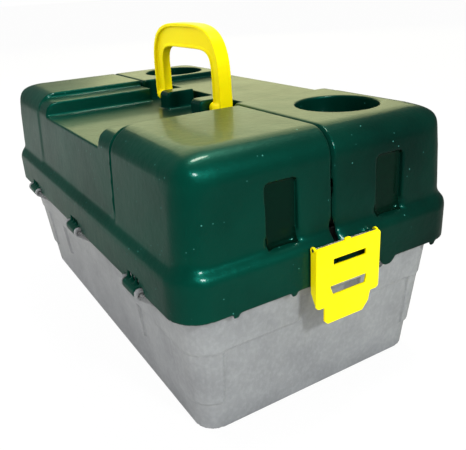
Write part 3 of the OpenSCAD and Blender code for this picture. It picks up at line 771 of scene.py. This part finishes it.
@dataclass
class SubAssembly:
    """What every sub-assembly needs: the CAD nodes, the body that each is on, and the finishes."""

    nodes: dict[str, bpy.types.Object]
    bodies: dict[str, str]
    paint: Paintbox
    chamfer: float = 0.25 * MM
    chamfer_steps: int = 2
    chamfer_angle: float = 40.0

    def moulded(
        self, node: str, finish: Finish, moulder: Moulder, extras: Sequence[bpy.types.Mesh] = ()
    ) -> None:
        """Puts a moulding in a CAD node's place.

        Args:
            node: the CAD node's name.
            finish: the finish it takes.
            moulder: how it is remeshed and rounded.
            extras: closed surfaces to fuse with it.
        """
        piece = moulder.copy(self.nodes[node], node + "_moulding", extras)
        self.paint.coat(piece, finish)
        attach(piece, self.bodies[node])
        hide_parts(node)
        log.info("%s: %d faces on %s", piece.name, len(piece.data.polygons), self.bodies[node])

    def carried(self, node: str, finish: Finish) -> None:
        """Gives a CAD node that stays its finish and slightly broken edges.

        Args:
            node: the CAD node's name.
            finish: the finish it takes.
        """
        piece = self.paint.coat(self.nodes[node], finish)
        piece.modifiers.new("Join the facets", "WELD").merge_threshold = SAME_POINT
        broken = piece.modifiers.new("Broken edges", "BEVEL")
        broken.width, broken.segments = self.chamfer, self.chamfer_steps
        broken.limit_method, broken.angle_limit = "ANGLE", math.radians(self.chamfer_angle)
        piece.modifiers.new("Flat faces stay flat", "WEIGHTED_NORMAL").keep_sharp = False
        log.info("%s: carried over", node)


@dataclass
class Tub(SubAssembly):
    """The grey tub, with a hooked rib on its side below each end ear."""

    moulder: Moulder = Moulder(grain=0.95 * MM, relax=1, faces=190_000)
    rib_foot: float = 109.7 * MM
    draft: float = 0.085
    rib_y: float = 108.0 * MM
    rib_top: float = 77.0 * MM
    rib_low: float = 41.0 * MM
    rib_radius: float = 1.5 * MM
    hook: float = 5.0 * MM
    straight_points: int = 40
    hook_points: int = 11

    def build(self) -> None:
        """Makes and dresses the tub."""
        ribs = [self._rib(side, end) for side in (-1, 1) for end in (-1, 1)]
        self.moulded("base_tub", Finish.TUB, self.moulder, ribs)

    def _rib(self, side: int, end: int) -> bpy.types.Mesh:
        """One rib: straight down the wall, then a quarter turn of radius hook towards the middle.

        The wall leans out, so x = rib_foot + draft z. The turn is y = rib_y - hook (1 - cos t) and
        z = rib_low + hook (1 - sin t), for t up to a right angle.

        Args:
            side: -1 for the left wall, 1 for the right one.
            end: -1 for the near end, 1 for the far one.

        Returns:
            The rib's mesh.
        """
        z = np.linspace(self.rib_top, self.rib_low + self.hook, self.straight_points)
        t = np.linspace(0.0, math.pi / 2, self.hook_points + 1)[1:]
        z = np.concatenate([z, self.rib_low + self.hook * (1 - np.sin(t))])
        inward = np.concatenate([np.zeros(self.straight_points), self.hook * (1 - np.cos(t))])
        x = side * (self.rib_foot + self.draft * z)
        return rib("rib", np.stack([x, end * (self.rib_y - inward), z], -1), self.rib_radius)


@dataclass
class Lids(SubAssembly):
    """The two green lids, softer at the roof's corners and the shoulders, with their hinge pins."""

    roof_corners: Zone = Zone(
        low=(0.102, 0.196, 0.200), high=(0.140, 0.240, 0.230), fade=10 * MM, rounds=150)
    side_shoulders: Zone = Zone(
        low=(0.112, 0.0, 0.144), high=(0.140, 0.240, 0.152), fade=6 * MM, rounds=60)
    end_shoulders: Zone = Zone(
        low=(0.0, 0.208, 0.144), high=(0.140, 0.240, 0.152), fade=6 * MM, rounds=60)
    grain: float = 0.9 * MM
    relax: int = 5

    def build(self) -> None:
        """Makes and dresses the lids."""
        zones = (self.roof_corners, self.side_shoulders, self.end_shoulders)
        moulder = Moulder(self.grain, self.relax, zones=zones)
        for side in ("left", "right"):
            self.moulded(f"{side}_lid", Finish.LID, moulder)
            self.carried(f"{side}_hinge_pins", Finish.STEEL)


@dataclass
class Handle(SubAssembly):
    """The folding carrying handle."""

    moulder: Moulder = Moulder(grain=0.6 * MM, relax=5, faces=70_000)

    def build(self) -> None:
        """Makes and dresses the handle."""
        self.moulded("carry_handle", Finish.HANDLE, self.moulder)


@dataclass
class Latches(SubAssembly):
    """The two end latches and their pins."""

    moulder: Moulder = Moulder(grain=0.4 * MM, relax=3, faces=40_000)

    def build(self) -> None:
        """Makes and dresses the latches."""
        for end in ("front", "rear"):
            self.moulded(f"{end}_latch", Finish.HANDLE, self.moulder)
            self.carried(f"{end}_latch_pin", Finish.STEEL)


@dataclass
class Trays(SubAssembly):
    """The six cantilever trays with their dividers, arms and rivets."""

    moulder: Moulder = Moulder(grain=0.8 * MM, relax=2, faces=40_000)

    def build(self) -> None:
        """Makes and dresses the trays and what carries them."""
        for side in ("left", "right"):
            for level in ("lower", "middle", "upper"):
                self.moulded(f"{side}_{level}_tray", Finish.TRAY, self.moulder)
                self.carried(f"{side}_{level}_dividers", Finish.TRAY)
            for arm in ("outer", "inner"):
                self.carried(f"{side}_{arm}_rivets", Finish.STEEL)
                for end in ("front", "rear"):
                    self.carried(f"{side}_{end}_{arm}_arm", Finish.STEEL)


# ------------------------------------------------------------------ the photograph's view


@dataclass(frozen=True)
class PhotoView:
    """The camera at the photograph's angle, solved from the box's own edges."""

    place: Triple = (-255.2 * MM, -513.3 * MM, 315.2 * MM)
    yaw: float = 30.27
    pitch: float = 22.56
    roll: float = -3.40
    lens: float = 44.07
    sensor: float = 36.0
    nearest: float = 0.02
    furthest: float = 50.0

    def build(self) -> None:
        """Makes the camera: its axes are turned by yaw, then pitch, then roll."""
        yaw, pitch, roll = (math.radians(angle) for angle in (self.yaw, self.pitch, self.roll))
        level = math.cos(pitch)
        ahead = Vector((math.sin(yaw) * level, math.cos(yaw) * level, -math.sin(pitch)))
        right = Vector((math.cos(yaw), -math.sin(yaw), 0.0))
        up = right.cross(ahead)
        across = math.cos(roll) * right + math.sin(roll) * up
        upright = math.cos(roll) * up - math.sin(roll) * right
        turned = Matrix((across, upright, -ahead)).transposed()
        data = bpy.data.cameras.new("Camera")
        data.lens, data.sensor_width = self.lens, self.sensor
        data.clip_start, data.clip_end = self.nearest, self.furthest
        camera = linked("Camera", data)
        camera.matrix_world = Matrix.Translation(self.place) @ turned.to_4x4()
        bpy.context.scene.camera = camera


@dataclass(frozen=True)
class Lamp:
    """A soft round lamp that faces a point, is never seen itself, and may be left unmirrored."""

    name: str
    place: Triple
    aim: Triple
    size: float
    watts: float
    tint: Triple = EVEN
    mirrored: bool = True

    def build(self) -> None:
        """Makes the lamp."""
        data = bpy.data.lights.new(self.name, "AREA")
        data.shape, data.size, data.energy, data.color = "DISK", self.size, self.watts, self.tint
        lamp = linked(self.name, data)
        towards = Vector(self.aim) - Vector(self.place)
        lamp.location, lamp.rotation_euler = self.place, towards.to_track_quat("-Z", "Y").to_euler()
        lamp.visible_camera, lamp.visible_glossy = False, self.mirrored


@dataclass
class Studio:
    """Pale floor, white surroundings and soft lamps.

    The camera and clear things see floor and world as white. The object mirrors only a part of
    the floor's light, and a dimmer world.
    """

    floor_half: float = 40.0
    floor_tone: Colour = (0.86, 0.86, 0.86, 1.0)
    floor_white: float = 0.95
    floor_mirrored: float = 0.20
    sky: float = 0.62
    sky_mirrored: float = 0.12
    lamps: tuple[Lamp, ...] = field(default_factory=lambda: (
        Lamp("Key", place=(0.07, -1.21, 0.84), aim=(-0.06, -0.15, 0.14), size=0.20, watts=10.5,
             tint=(0.95, 1.0, 1.0)),
        Lamp("Overhead", place=(0.5, -0.10, 1.9), aim=(0.0, 0.0, 0.1), size=0.30, watts=15.0,
             tint=(1.0, 1.0, 0.85)),
        Lamp("Back", place=(1.6, 2.4, 1.75), aim=(0.0, 0.0, 0.2), size=3.2, watts=37.0,
             tint=(1.0, 1.0, 0.5)),
        Lamp("Left", place=(-2.2, -0.1, 1.0), aim=(0.0, 0.0, 0.1), size=1.2, watts=14.0,
             mirrored=False),
        Lamp("Floor behind", place=(-0.6, 1.1, 0.9), aim=(-0.6, 1.1, 0.0), size=0.8, watts=19.0,
             mirrored=False),
    ))

    def build(self) -> None:
        """Makes the floor, the world and the lamps, and sets the plain view transform."""
        self._floor()
        self._world()
        for lamp in self.lamps:
            lamp.build()
        bpy.context.scene.view_settings.view_transform = "Standard"

    @staticmethod
    def _rays(tree: Tree) -> tuple[Term, Term]:
        """1 for rays from the camera or through clear things, and 1 for mirrored rays."""
        seen = tree.ray("Is Camera Ray") + tree.ray("Is Transmission Ray")
        return seen, tree.ray("Is Glossy Ray")

    def _floor(self) -> None:
        """A large flat floor that looks white and keeps a faint shadow."""
        h = self.floor_half
        mesh = bpy.data.meshes.new("floor")
        mesh.from_pydata([(-h, -h, 0), (h, -h, 0), (h, h, 0), (-h, h, 0)], [], [(0, 1, 2, 3)])
        tree = Tree(bpy.data.materials.new("Pale floor"))
        seen, mirrored = self._rays(tree)
        matt = tree.add("ShaderNodeBsdfDiffuse", {}, {"Color": self.floor_tone}, "BSDF")
        glow = tree.add("ShaderNodeEmission", {}, {"Color": WHITE, "Strength": seen}, "Emission")
        share = (seen * self.floor_white + mirrored * (1.0 - self.floor_mirrored)).clamped()
        both = tree.add("ShaderNodeMixShader", {}, {0: share, 1: matt, 2: glow})
        mesh.materials.append(tree.end(both))
        linked("floor", mesh)

    def _world(self) -> None:
        """White to the camera, dim in reflections, even as a light."""
        tree = Tree(bpy.data.worlds.new("Studio"))
        bpy.context.scene.world = tree.holder
        seen, mirrored = self._rays(tree)
        level = seen * (1.0 - self.sky) + mirrored * (self.sky_mirrored - self.sky) + self.sky
        light = tree.add("ShaderNodeBackground", {}, {"Color": WHITE, "Strength": level})
        tree.end(light, "ShaderNodeOutputWorld")


def main() -> None:
    """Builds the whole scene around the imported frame."""
    logging.basicConfig(level=logging.INFO, format="%(name)s %(message)s")
    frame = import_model()
    PhotoView().build()
    members = frame["record"]["behaviour"]["bodies"]
    bodies = {node: body for body, nodes in members.items() for node in nodes}
    parts = {"nodes": frame["nodes"], "bodies": bodies, "paint": Paintbox()}
    for kind in (Tub, Lids, Handle, Latches, Trays):
        kind(**parts).build()
    Studio().build()


if __name__ == "__main__":
    main()
